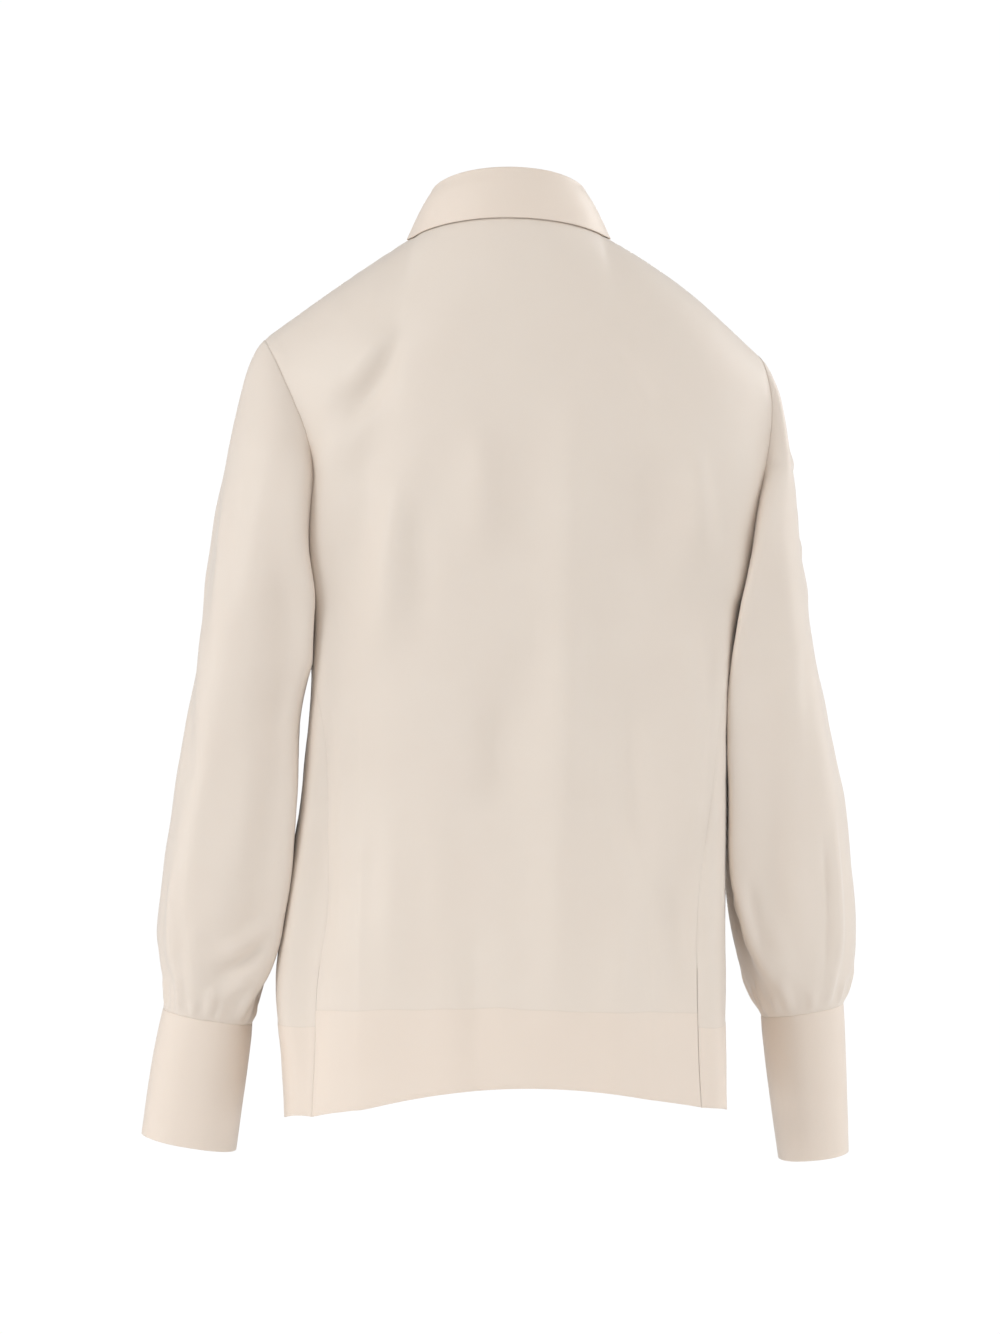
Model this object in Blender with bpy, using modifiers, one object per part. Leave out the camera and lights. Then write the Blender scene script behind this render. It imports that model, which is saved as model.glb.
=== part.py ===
"""Silk blouse with a shirt collar and deep cuffs, in its worn shape with nobody in it.

The front faces -Y, the wearer's left is +X and up is +Z. The origin is the middle of the neck
opening, just below the neck ends of the shoulder seams. Sizes are in millimetres, and "drop" is
a distance below the origin; points become metres when a mesh is made.
"""

from collections import namedtuple
from functools import cache, partial
from math import atan2, copysign, cos, exp, pi, radians, sin

import bmesh
import bpy
import numpy as np
from mathutils import Vector
from mathutils.bvhtree import BVHTree

METRES = 0.001

WALL = 1.2                  # body and sleeve cloth
BAND_WALL = 1.6             # collar and cuffs, which are interlined
SEAM = 0.25                 # a panel and a sleeve each stop this far from the armhole seam
EDGE = 0.35                 # and the panels this far from their other seams
CLEAR = 0.5                 # between two layers of cloth that lie on each other

UNDERARM = 288              # drop of the lowest point of both armholes
ROUND = 0.85                # exponent of the body rings: 1 is an ellipse, less is squarer
NECK_MIDDLE = -2            # x of the middle of the neck opening
NECK_WIDTH = 70             # half the neck opening
NECK_DEPTH = 62
NECK_LIFT = 2               # height of the neck seam at the sides
NECK_BACK_RISE = 10         # and how much higher it is at the back, and lower at the front
NECK_FRONT_FALL = 62
COLUMN_BACK = 104           # half distance of the neck-end columns at the underarm, back
COLUMN_FRONT = 108
LAP = 15                    # each front goes this far past the centre
LAP_FROM = 1.55             # the share across the right front where its lap starts to lift
LAP_RUN = 0.25
SIDE_RADIUS = 115           # about the radius of the body at its side seams
VENT_TOP = 560              # drop where the side seams open into vents
VENT_OPEN = 0.8             # how far each edge of a vent has drawn back at the hem
FOLD_FADE = 0.2             # folds fade out over this share of a panel at its top and sides
HEM_FADE = 0.15             # and to half their height over this share at its hem

Leave = namedtuple("Leave", "aside out down")
LEAVE_SHOULDER = Leave(12, 310, 38)     # how a panel leaves its shoulder seam
LEAVE_NECK = Leave(0, 105, 118)         # and its neck seam at the centre
LEAVE_SLEEVE_END = 0.72                 # share of that run outward at the seam's sleeve end

Hem = namedtuple("Hem", "centre arch left right middle")
BACK_HEM = Hem(647, 17, 9, 9, -0.14)    # middle is where the arch is highest, -1 to 1
FRONT_HEM = Hem(655, 12, 14, 6, 0)

CAP_SPREAD = 0.27           # how steeply a sleeve leaves its armhole sideways
CAP_ROUND = 0.34            # and towards the back and front
CAP_FALL = 0.3              # and downward
UNDER_STEP = 1.7            # a sleeve starts this much farther out below its cap
SLEEVE_ROUND = 0.94         # exponent of a sleeve's rings
GATHER_RISE = 1.3           # height of the gathers above a cuff
GATHER_FOLDS = 6

STAND_RISE = 1.2            # from the neck seam to the stand's lower edge
STAND_LAP = 12              # degrees that each end of the stand runs past the centre
STAND_LAP_RISE = 1.3        # how much higher its lapped ends start
STAND_LAP_STEP = 1.1        # each lapped end lies about this far off the stand's own ring
STAND_LEAN = 0.3            # how far the stand's own outward direction is turned up
STAND_WIDTH = 55            # half the width of the fold line between stand and fall
STAND_BACK = 50
STAND_FRONT = 55
STAND_SIDE_TOP = 29         # height of the fold line at the sides
STAND_BACK_RISE = 14
STAND_FRONT_FALL = 67
FALL_CLEAR = 2.6            # from the panels' middle surface to the fall's
FALL_END = 4                # degrees from the centre of the front to each end of the fall
FALL_WIDTH = 77             # half width of the fall's lower edge
FALL_BACK = 68
FALL_BACK_RISE = 9
FALL_SHOULDER_SHARE = 0.935     # where the fall's edge crosses the shoulder, across a front
FALL_POINT_SHARE = 1.575        # and where its point lies
FALL_POINT_DOWN = 0.27
FALL_STEEPER = 0.6          # how much taller the fall's roll is where the fold line slopes

Roll = namedtuple("Roll", "down out up")
FALL_ROLL = (
    Roll(0.0, 0.2, 1.5),
    Roll(0.11, 1.5, 3.2),
    Roll(0.22, 3.7, 3.0),
    Roll(0.33, 5.0, 0.6),
)

CUFF_LAP = 32               # degrees that the two ends of a cuff lie over each other
CUFF_OPENING = 258          # where a cuff's ends lap, in degrees from its outer side
CUFF_STEP = 1.15            # each lapped end lies this far off the cuff's own ring
CUFF_STEP_RUN = 24          # degrees over which it gets there

Section = namedtuple("Section", "drop left right back front seam_left seam_right")
BODY = (
    Section(288, 151, -182, 111, -128, 4, 4),
    Section(345, 149.5, -172, 107, -121, 22, 18),
    Section(436, 158, -170, 103, -114, 34, 30),
    Section(514, 170, -169, 107, -116, 38, 34),
    Section(570, 178, -169, 112, -120, 37, 34),
    Section(625, 175, -170, 117, -124, 34, 34),
    Section(690, 171, -172, 122, -128, 30, 33),
)

Shoulder = namedtuple("Shoulder", "x y drop bulge")
SHOULDER_LEFT = Shoulder(187, 2, 80, 1.5)
SHOULDER_RIGHT = Shoulder(-193, -2, 91, 7.5)

Station = namedtuple("Station", "name x y drop")
ARMHOLE_LEFT = (
    Station("upper back", 168, 43, 117),
    Station("back", 148, 58, 172),
    Station("lower back", 146, 42, 250),
    Station("lower front", 149, -38, 253),
    Station("front", 156, -56, 182),
    Station("upper front", 173, -40, 118),
)
ARMHOLE_RIGHT = (
    Station("upper back", -204, 32, 132),
    Station("back", -196, 45, 196),
    Station("lower back", -186, 33, 258),
    Station("lower front", -179, -36, 262),
    Station("front", -170, -59, 198),
    Station("upper front", -178, -44, 128),
)

Ring = namedtuple("Ring", "drop outer inner back front tilt")
SLEEVE_LEFT = (
    Ring(338, 238.5, 153, 84, -42, 0),
    Ring(380, 245, 154.5, 82, -40, 0),
    Ring(448, 256.5, 162, 80, -42, 0),
    Ring(500, 263.5, 170.5, 80, -46, 1),
    Ring(545, 267, 179.5, 75, -49, 3),
    Ring(574, 263.5, 188.5, 64, -45, 5),
    Ring(592, 261, 194.5, 50, -36, 6),
    Ring(602.5, 263.5, 198, 45.5, -32.5, 6),
)
SLEEVE_RIGHT = (
    Ring(338, -242, -175.5, 45, -96, 0),
    Ring(380, -250, -173.5, 40, -98, 0),
    Ring(448, -264, -172.5, 30, -100, 0),
    Ring(500, -270, -173.5, 24, -104, 1),
    Ring(545, -273, -180.5, 16, -108, 3),
    Ring(574, -271, -189.5, 6, -104, 4),
    Ring(592, -265, -198, -6, -94, 5),
    Ring(602.5, -264, -202.5, -9.5, -89.5, 5),
)
CUFF_LEFT = (
    Ring(603.6, 263.5, 198, 45.5, -32.5, 6),
    Ring(640, 271, 202.5, 44, -34, 6),
    Ring(700, 280, 211, 42, -36, 6.5),
)
CUFF_RIGHT = (
    Ring(603.6, -264, -202.5, -9.5, -89.5, 5),
    Ring(640, -265.5, -206.5, -10.5, -91.5, 4),
    Ring(717, -268, -217, -14, -95, 3),
)

Fold = namedtuple("Fold", "name x_top top x_foot foot width rise")
BACK_FOLDS = (
    Fold("ridge on the left shoulder blade", 74, 52, 126, 138, 10, 5.5),
    Fold("trough under that ridge", 84, 76, 134, 160, 11, -6),
    Fold("left ridge to the waist", 82, 185, 95, 330, 14, 5),
    Fold("short ridge by the middle", 17, 140, 14, 262, 13, 3.5),
    Fold("long ridge right of the middle", -50, 120, -37, 600, 16, 5),
    Fold("ridge beside the right armhole", -146, 165, -143, 262, 12, 4),
    Fold("broad trough over the right rib", -98, 160, -110, 330, 26, -6),
    Fold("bulge at the right waist", -126, 300, -128, 500, 20, 6.5),
    Fold("trough over the right hip", -122, 480, -130, 610, 15, -4.5),
    Fold("trough at the waist", 4, 320, 6, 470, 20, -4),
    Fold("flare at the left hip", 92, 430, 104, 640, 20, 4.5),
)
FRONT_FOLDS = (
    Fold("ridge below the left bust", 82, 190, 66, 470, 16, 6),
    Fold("trough beside the left lap", 42, 250, 40, 560, 15, -4.5),
    Fold("ridge below the right bust", -84, 200, -74, 420, 15, 6),
    Fold("trough beside the right lap", -46, 330, -42, 620, 14, -4),
    Fold("trough over the left rib", 118, 230, 112, 420, 17, -5),
    Fold("flare at the right hip", -106, 420, -112, 640, 20, 5.5),
    Fold("flare at the left hip", 100, 440, 108, 640, 18, 5),
    Fold("drag from the left shoulder", 110, 60, 74, 150, 12, 4.5),
    Fold("drag from the right shoulder", -116, 66, -82, 170, 13, 4.5),
)

Crease = namedtuple("Crease", "name angle drop turn width height rise")
SLEEVE_CREASES_LEFT = (
    Crease("blousing on the inner back", 140, 560, 0.5, 30, 18, 4),
    Crease("fold at the elbow, inner back", 150, 330, 0.6, 28, 15, 4.5),
    Crease("hollow at the elbow, inner back", 125, 372, 0.5, 26, 20, -4),
    Crease("fold down the outer back", 55, 450, -0.1, 14, 110, 4),
    Crease("fold on the front", 285, 430, 0.2, 20, 80, 4.5),
)
SLEEVE_CREASES_RIGHT = (
    Crease("blousing on the inner back", 130, 556, -0.5, 28, 20, 4),
    Crease("fold down the back", 95, 520, 0.1, 16, 60, 5),
    Crease("dent under the cap", 5, 158, 0.15, 45, 12, -4),
    Crease("second dent under the cap", -5, 210, 0.15, 45, 20, -4),
    Crease("fold down the outer front", 300, 430, 0.1, 22, 100, 4.5),
)

BUTTON_HEIGHT = 2.4
BUTTON_LIFT = 0.3           # from the cloth to the button's underside
BUTTON_STEPS = 16
Turn = namedtuple("Turn", "radius height")
BUTTON_PROFILE = (
    Turn(0, 2.0), Turn(3.96, 2.0), Turn(4.62, BUTTON_HEIGHT), Turn(5.5, 1.44), Turn(4.4, 0),
    Turn(0, 0),
)
BUTTON_DROPS = (112, 196, 280, 364, 448, 532)
CUFF_BUTTON_DROPS = (632, 682)

BACK_COLUMNS = 24
FRONT_COLUMNS = 15
UPPER_ROWS = 12             # from the shoulder to the underarm; a sleeve has twice as many columns
LOWER_ROWS = 13
SLEEVE_ROWS = 17
SLEEVE_UPPER_SHARE = 0.4    # share of a sleeve's rows above its first full ring
BACK_SHOULDER = 0.3         # share of the back's width under one shoulder seam
FRONT_SHOULDER = 0.5
FRONT_NECK_TURN = 1 + LAP / COLUMN_FRONT

SILK = (0.76, 0.68, 0.59)
PEARL = (0.78, 0.72, 0.64)


# ---------------------------------------------------------------- curves and tables

def hermite(start, leave, finish, arrive, t):
    """Point at t on the cubic that leaves and arrives with the given speeds."""
    t2 = t * t
    t3 = t2 * t
    return (start * (2 * t3 - 3 * t2 + 1) + leave * (t3 - 2 * t2 + t)
            + finish * (3 * t2 - 2 * t3) + arrive * (t3 - t2))


def read(table, column, drop):
    """One column of a table at a drop, smooth between the rows."""
    drops = np.array([row.drop for row in table], float)
    values = np.array([getattr(row, column) for row in table], float)
    slopes = np.gradient(values, drops)
    row = int(np.clip(np.searchsorted(drops, drop) - 1, 0, len(drops) - 2))
    span = drops[row + 1] - drops[row]
    t = (drop - drops[row]) / span
    return hermite(values[row], slopes[row] * span, values[row + 1], slopes[row + 1] * span, t)


def mix(first, second, share):
    return first * (1 - share) + second * share


def ease(value):
    """0 to 1, flat at both ends."""
    value = min(max(value, 0.0), 1.0)
    return value * value * (3 - 2 * value)


def power(value, exponent):
    return copysign(abs(value) ** exponent, value)


# ---------------------------------------------------------------- the body's form

def body_ring(angle, drop):
    """Point on the body's ring: 0 is the wearer's left, pi / 2 the back, -pi / 2 the front."""
    left = read(BODY, "left", drop)
    right = read(BODY, "right", drop)
    depth = read(BODY, "back", drop) if sin(angle) >= 0 else -read(BODY, "front", drop)
    x = (left + right) / 2 + (left - right) / 2 * power(cos(angle), ROUND)
    return Vector((x, depth * power(sin(angle), ROUND), -drop))


def angle_at(x, drop):
    """Angle, between 0 and pi, where the ring has this x."""
    left = read(BODY, "left", drop)
    right = read(BODY, "right", drop)
    share = min(max((x - (left + right) / 2) / ((left - right) / 2), -1.0), 1.0)
    return float(np.arccos(power(share, 1 / ROUND)))


def neck(angle):
    """Point on the neck seam, angles as on a body ring."""
    s = sin(angle)
    z = NECK_BACK_RISE * s * s if s >= 0 else -NECK_FRONT_FALL * abs(s) ** 1.6
    return Vector((NECK_MIDDLE + NECK_WIDTH * cos(angle), NECK_DEPTH * s, z + NECK_LIFT))


def shoulder(side, share):
    """Point on a shoulder seam, from the sleeve (0) to the neck (1)."""
    tip = SHOULDER_LEFT if side > 0 else SHOULDER_RIGHT
    point = mix(Vector((tip.x, tip.y, -tip.drop)), neck(0 if side > 0 else pi), share)
    point.z += tip.bulge * sin(pi * share)
    return point


def seam_angle(side, drop):
    """Angle of a side seam, behind the body's side."""
    behind = radians(read(BODY, "seam_left" if side > 0 else "seam_right", drop))
    return behind if side > 0 else pi - behind


def armhole(side, turn):
    """Point on an armhole seam: 0 is the shoulder tip, 0.25 the back, 0.5 the underarm."""
    stations = ARMHOLE_LEFT if side > 0 else ARMHOLE_RIGHT
    marks = [Vector((station.x, station.y, -station.drop)) for station in stations]
    foot = body_ring(seam_angle(side, UNDERARM), UNDERARM)
    loop = [shoulder(side, 0)] + marks[:3] + [foot] + marks[3:]
    place = (turn % 1.0) * len(loop)
    first = int(place)
    before, start, finish, after = (loop[(first + step) % len(loop)] for step in (-1, 0, 1, 2))
    return hermite(start, (finish - before) / 2, finish, (after - start) / 2, place - first)


def relief(folds, x, drop):
    """Height of the folds over a panel's smooth form."""
    height = 0.0
    for fold in folds:
        run = (drop - fold.top) / (fold.foot - fold.top)
        if 0 < run < 1:
            off = (x - mix(fold.x_top, fold.x_foot, run)) / fold.width
            height += fold.rise * exp(-off * off) * sin(pi * run)
    return height


def panel_column(side, share, facing):
    """Top of a column, its speed there, its foot at the underarm's level and its speed there.

    share runs from 0 at the side to 1 at the neck end of the shoulder seam, then to 2 at the
    centre and past it; facing is 1 for the back and -1 for the front."""
    turn = max(share - 1, 0)
    if share <= 1:
        top = shoulder(side, share)
    else:
        top = neck(facing * pi / 2 * (turn if side > 0 else 2 - turn))
    centre = sin(pi / 2 * min(turn, 2 - turn))
    run = mix(LEAVE_SHOULDER.out, LEAVE_NECK.out, centre)
    run *= mix(LEAVE_SLEEVE_END, 1.0, ease(share * 1.4))
    aside = mix(LEAVE_SHOULDER.aside, LEAVE_NECK.aside, centre)
    fall = mix(LEAVE_SHOULDER.down, LEAVE_NECK.down, centre)
    leave = Vector((side * aside, facing * run, -fall))
    step = 12.0
    foot = body_ring(ring_angle(side, share, facing, UNDERARM, EDGE), UNDERARM)
    below = body_ring(ring_angle(side, share, facing, UNDERARM + step, EDGE), UNDERARM + step)
    arrive = (below - foot) / step * (top.z - foot.z)
    return top + leave.normalized() * EDGE, leave, foot, arrive


def ring_angle(side, share, facing, drop, inset):
    """Where a column crosses a body ring, as a signed angle."""
    column = side * (COLUMN_BACK if facing > 0 else COLUMN_FRONT)
    if share > 1:
        return angle_at(column * (2 - share), drop) * facing
    seam = seam_angle(side, drop)
    if facing < 0 and side < 0:
        seam -= 2 * pi
    inner = angle_at(column, drop) * facing
    return mix(seam + side * facing * inset / SIDE_RADIUS, inner, share)


@cache
def armhole_match(side, facing, down):
    """Row of the side column that is level with the armhole there, and the way between them."""
    top, leave, foot, arrive = panel_column(side, 0, facing)
    seam = armhole(side, down / 2 if facing > 0 else 1 - down / 2)
    seam -= Vector((side * SEAM, -facing * EDGE * (1 - ease(down * 6)), 0))
    low, high = 0.0, 1.0
    for halving in range(16):
        level = (low + high) / 2
        if hermite(top, leave, foot, arrive, level).z > seam.z:
            low = level
        else:
            high = level
    seam += (foot - seam) * ease(down * 8 - 7)
    return level, seam - hermite(top, leave, foot, arrive, level)


def panel(side, share, facing, down):
    """Point on the smooth form of the back or a front.

    down is 0 at the shoulder or neck, 1 at the underarm's level and 2 at the hem."""
    if down > 1:
        hem = hem_drop(side, share, facing)
        drop = mix(UNDERARM, hem, down - 1)
        vent = ease((drop - VENT_TOP) / (hem - VENT_TOP)) * VENT_OPEN
        return body_ring(ring_angle(side, share, facing, drop, EDGE + vent), drop)
    top, leave, foot, arrive = panel_column(side, share, facing)
    if share >= 1:
        return hermite(top, leave, foot, arrive, down)
    level, aside = armhole_match(side, facing, down)
    near = (1 - share) ** 1.4 if share > 0 else 1.0
    return hermite(top, leave, foot, arrive, mix(down, level, near)) + aside * near


def hem_drop(side, share, facing):
    """Drop of the hem, which arches up at its middle and dips at the side seams."""
    hem = BACK_HEM if facing > 0 else FRONT_HEM
    across = side * min(2 - share, 1)
    edge = max(0.0, 1 - share)
    arch = hem.arch * ((across - hem.middle) / (1 + abs(hem.middle))) ** 2
    return hem.centre + arch + (hem.left if side > 0 else hem.right) * edge


def surface(side, share, facing, down, lift=0.0):
    """Point on a panel with its folds, moved out by lift."""
    step = 0.004
    point = panel(side, share, facing, down)
    across = panel(side, share + step, facing, down) - panel(side, share - step, facing, down)
    lower = panel(side, share, facing, min(down + step, 2))
    upper = panel(side, share, facing, max(down - step, 0))
    out = (lower - upper).cross(across) * side * facing
    out.normalize()
    folds = BACK_FOLDS if facing > 0 else FRONT_FOLDS
    calm = ease(down / FOLD_FADE) * ease(share / FOLD_FADE)
    calm *= 1 - 0.5 * ease((down - 2 + HEM_FADE) / HEM_FADE)
    return point + out * (relief(folds, point.x, -point.z) * calm + lift)


# ---------------------------------------------------------------- making meshes

def finish(name, mesh, colour, roughness):
    """Object with its own material, in the blouse's collection."""
    material = bpy.data.materials.new(name)
    material.use_nodes = True
    shader = material.node_tree.nodes["Principled BSDF"]
    shader.inputs["Base Color"].default_value = (*colour, 1)
    shader.inputs["Roughness"].default_value = roughness
    shader.inputs["Metallic"].default_value = 0
    mesh.materials.append(material)
    mesh.shade_smooth()
    part = bpy.data.objects.new(name, mesh)
    blouse.objects.link(part)
    return part


def cloth(name, columns, rows, place, wall, closed=False):
    """Sheet of cloth whose points are place(across, down), thickened about that surface."""
    sheet = bmesh.new()
    bmesh.ops.create_grid(sheet, x_segments=columns, y_segments=rows, size=1)
    for vert in sheet.verts:
        vert.co = place((vert.co.x + 1) / 2, (1 - vert.co.y) / 2) * METRES
    if closed:
        bmesh.ops.remove_doubles(sheet, verts=sheet.verts, dist=1e-6)
    mesh = bpy.data.meshes.new(name)
    sheet.to_mesh(mesh)
    sheet.free()
    part = finish(name, mesh, SILK, 0.55)
    solid = part.modifiers.new("cloth", "SOLIDIFY")
    solid.thickness = wall * METRES
    solid.offset = 0
    return part


# ---------------------------------------------------------------- body panels

def panel_down(down):
    """Rows: the first UPPER_ROWS end at the underarm, the rest at the hem."""
    row = down * (UPPER_ROWS + LOWER_ROWS)
    if row <= UPPER_ROWS:
        return row / UPPER_ROWS
    return 1 + (row - UPPER_ROWS) / LOWER_ROWS


def back_point(across, down):
    """Point on the back, from the wearer's left side seam (0) to the right one (1)."""
    half = across if across <= 0.5 else 1 - across
    side = 1 if across <= 0.5 else -1
    if half <= BACK_SHOULDER:
        share = half / BACK_SHOULDER
    else:
        share = 1 + (half - BACK_SHOULDER) / (0.5 - BACK_SHOULDER)
    return surface(side, share, 1, panel_down(down))


def front_surface(side, share, down, lift=0.0):
    """Point on a front; the right one lies over the left one at the centre."""
    if side < 0:
        lift += (WALL + CLEAR) * ease((share - LAP_FROM) / LAP_RUN)
    return surface(side, share, -1, down, lift)


def front_point(side, from_side, down):
    """Point on a front, from its side seam (0) to its lapped edge (1)."""
    if from_side <= FRONT_SHOULDER:
        share = from_side / FRONT_SHOULDER
    else:
        share = 1 + (from_side - FRONT_SHOULDER) / (1 - FRONT_SHOULDER) * FRONT_NECK_TURN
    return front_surface(side, share, down)


def make_panels():
    cloth("back", BACK_COLUMNS, UPPER_ROWS + LOWER_ROWS, back_point, WALL)
    cloth("front_left", FRONT_COLUMNS, UPPER_ROWS + LOWER_ROWS,
          lambda across, down: front_point(1, 1 - across, panel_down(down)), WALL)
    cloth("front_right", FRONT_COLUMNS, UPPER_ROWS + LOWER_ROWS,
          lambda across, down: front_point(-1, across, panel_down(down)), WALL)


# ---------------------------------------------------------------- sleeves and cuffs

def sleeve_ring(table, turn, drop):
    """Point on a sleeve's ring: 0 is its outer side, 0.25 the back, 0.5 the inner side."""
    angle = 2 * pi * turn
    outer = read(table, "outer", drop)
    inner = read(table, "inner", drop)
    back = read(table, "back", drop)
    front = read(table, "front", drop)
    x = (outer + inner) / 2 + (outer - inner) / 2 * power(cos(angle), SLEEVE_ROUND)
    y = (back + front) / 2 + (back - front) / 2 * power(sin(angle), SLEEVE_ROUND)
    return Vector((x, y, read(table, "tilt", drop) * cos(angle) - drop))


def sleeve_point(side, turn, down):
    """Point on a sleeve, from the armhole (down 0) to the cuff (1)."""
    table = SLEEVE_LEFT if side > 0 else SLEEVE_RIGHT
    first = table[0].drop
    last = table[-1].drop
    if down < SLEEVE_UPPER_SHARE:
        under = min(1.0, 0.8 * (1 - cos(2 * pi * turn)))
        start = armhole(side, turn) + Vector((side * (SEAM + UNDER_STEP * under), 0, 0))
        end = sleeve_ring(table, turn, first)
        length = (end - start).length
        leave = Vector((side * CAP_SPREAD, CAP_ROUND * sin(2 * pi * turn), -CAP_FALL)) * length
        step = 10
        arrive = (sleeve_ring(table, turn, first + step) - end) / step * length
        point = hermite(start, leave, end, arrive, down / SLEEVE_UPPER_SHARE)
    else:
        low = (down - SLEEVE_UPPER_SHARE) / (1 - SLEEVE_UPPER_SHARE)
        point = sleeve_ring(table, turn, mix(first, last, low))
    out = Vector((side * cos(2 * pi * turn), sin(2 * pi * turn), 0))
    return point + out * sleeve_relief(side, turn * 360, down, -point.z)


def sleeve_relief(side, angle, down, drop):
    """Creases, and the gathers just above the cuff."""
    height = 0.0
    for crease in SLEEVE_CREASES_LEFT if side > 0 else SLEEVE_CREASES_RIGHT:
        sideways = (angle - crease.angle + 180) % 360 - 180
        upward = drop - crease.drop - crease.turn * sideways
        spread = (sideways / crease.width) ** 2 + (upward / crease.height) ** 2
        height += crease.rise * exp(-spread)
    gathers = GATHER_RISE * sin(radians(angle) * GATHER_FOLDS)
    gathers *= ease((down - 0.86) / 0.1) * (1 - ease((down - 0.96) / 0.04))
    return (height + gathers) * ease(down * 6) * (1 - ease((down - 0.93) / 0.07))


def make_sleeve(side, name):
    def place(across, down):
        return sleeve_point(side, across if side > 0 else 1 - across, down)
    cloth(name, 2 * UPPER_ROWS, SLEEVE_ROWS, place, WALL, closed=True)


def cuff_point(side, along, down):
    """Point on a cuff's band, whose end (along 1) laps over its start (0)."""
    table = CUFF_LEFT if side > 0 else CUFF_RIGHT
    start = CUFF_OPENING - CUFF_LAP / 2
    past_start = along * (360 + CUFF_LAP)
    to_end = 360 + CUFF_LAP - past_start
    over = ease((CUFF_LAP + CUFF_STEP_RUN - to_end) / CUFF_STEP_RUN)
    under = ease((CUFF_LAP + CUFF_STEP_RUN - past_start) / CUFF_STEP_RUN)
    angle = start + past_start
    point = sleeve_ring(table, angle / 360, mix(table[0].drop, table[-1].drop, down))
    out = Vector((side * cos(radians(angle)), sin(radians(angle)), 0))
    return point + out * (over - under) * CUFF_STEP


def make_cuff(side, name):
    def place(across, down):
        return cuff_point(side, across if side > 0 else 1 - across, down)
    cloth(name, 28, 3, place, BAND_WALL)


# ---------------------------------------------------------------- collar

def stand_top(angle):
    """Fold line between the collar's stand and its fall, angles as on a body ring."""
    s = sin(angle)
    x = NECK_MIDDLE + STAND_WIDTH * cos(angle)
    if s >= 0:
        return Vector((x, STAND_BACK * s, STAND_SIDE_TOP + STAND_BACK_RISE * s))
    return Vector((x, STAND_FRONT * s, STAND_SIDE_TOP - STAND_FRONT_FALL * abs(s) ** 1.5))


def stand_point(across, up):
    """Point on the stand, whose right end laps over its left end at the front."""
    lap = radians(STAND_LAP)
    angle = mix(-pi / 2 - lap, 3 * pi / 2 + lap, across)
    near_start = 1 - ease((angle + pi / 2 - lap) / lap / 1.5)
    near_end = 1 - ease((3 * pi / 2 - lap - angle) / lap / 1.5)
    foot = neck(angle)
    rise = (stand_top(angle) - foot).normalized()
    foot += rise * (STAND_RISE + STAND_LAP_RISE * max(near_start, near_end))
    out = Vector((cos(angle), sin(angle), STAND_LEAN))
    return mix(foot, stand_top(angle), up) + out * STAND_LAP_STEP * (near_end - near_start)


def fall_edge(angle):
    """Lower edge of the fall: round the back of the neck, then out to the two points."""
    s = sin(angle)
    if s >= 0:
        x = NECK_MIDDLE + FALL_WIDTH * cos(angle)
        return Vector((x, FALL_BACK * s, -1 + FALL_BACK_RISE * s * s))
    side = copysign(1, cos(angle))
    t = atan2(-s, abs(cos(angle))) / (pi / 2)
    share = mix(FALL_SHOULDER_SHARE, FALL_POINT_SHARE, t ** 1.25)
    return front_surface(side, share, FALL_POINT_DOWN * t ** 0.9, FALL_CLEAR)


def fall_point(across, down, panels):
    """Point on the fall: it rolls over the stand's top, then hangs clear of the panels."""
    end = radians(FALL_END)
    angle = mix(-pi / 2 + end, 3 * pi / 2 - end, across)
    out = Vector((cos(angle), sin(angle), 0))
    slope = -sin(2 * angle) if cos(angle) > 0 else sin(2 * angle)
    steep = 1 + FALL_STEEPER * max(0, slope)
    rolled = FALL_ROLL[-1].down
    downs = [row.down for row in FALL_ROLL]
    sideways = float(np.interp(down, downs, [row.out for row in FALL_ROLL]))
    upward = float(np.interp(down, downs, [row.up for row in FALL_ROLL]))
    start = stand_top(angle) + out * sideways + Vector((0, 0, upward * steep))
    if down <= rolled:
        return start
    edge = fall_edge(angle)
    length = (edge - start).length
    leave = edge - start + out * length * 0.2
    arrive = edge - start - out * length * 0.1
    point = hermite(start, leave, edge, arrive, (down - rolled) / (1 - rolled))
    nearest, normal, index, distance = panels.find_nearest(point)
    gap = (point - nearest).dot(normal)
    if gap < FALL_CLEAR:
        point += normal * (FALL_CLEAR - gap)
    return point


def panel_tree():
    """The body panels' middle surfaces, to lay the fall on."""
    points = []
    faces = []
    for name in ("back", "front_left", "front_right"):
        mesh = bpy.data.objects[name].data
        base = len(points)
        points += [vert.co / METRES for vert in mesh.vertices]
        faces += [[base + corner for corner in face.vertices] for face in mesh.polygons]
    return BVHTree.FromPolygons(points, faces)


def make_collar():
    cloth("collar_stand", 34, 2, lambda across, down: stand_point(across, 1 - down), BAND_WALL)
    panels = panel_tree()
    cloth("collar_fall", 34, 9, lambda across, down: fall_point(across, down, panels), BAND_WALL)


# ---------------------------------------------------------------- buttons

def make_button(name, seat, out):
    """Dished round button lying on the cloth at seat, facing out."""
    mesh = bpy.data.meshes.new(name)
    points = [(row.radius * METRES, 0, row.height * METRES) for row in BUTTON_PROFILE]
    mesh.from_pydata(points, [(first, first + 1) for first in range(len(points) - 1)], [])
    button = finish(name, mesh, PEARL, 0.25)
    turned = button.modifiers.new("turned", "SCREW")
    turned.steps = BUTTON_STEPS
    turned.render_steps = BUTTON_STEPS
    turned.use_merge_vertices = True
    turned.merge_threshold = 0.00001
    button.location = (seat + out * BUTTON_LIFT) * METRES
    button.rotation_mode = "QUATERNION"
    button.rotation_quaternion = out.to_track_quat("Z", "Y")


def outward(place, across, down, middle):
    """Unit normal of the surface place(across, down), pointing away from x, y = middle."""
    step = 0.01
    wide = place(across + step, down) - place(across - step, down)
    tall = place(across, down - step) - place(across, down + step)
    normal = wide.cross(tall).normalized()
    away = place(across, down).xy - Vector(middle)
    return normal if normal.xy.dot(away) > 0 else -normal


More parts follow.
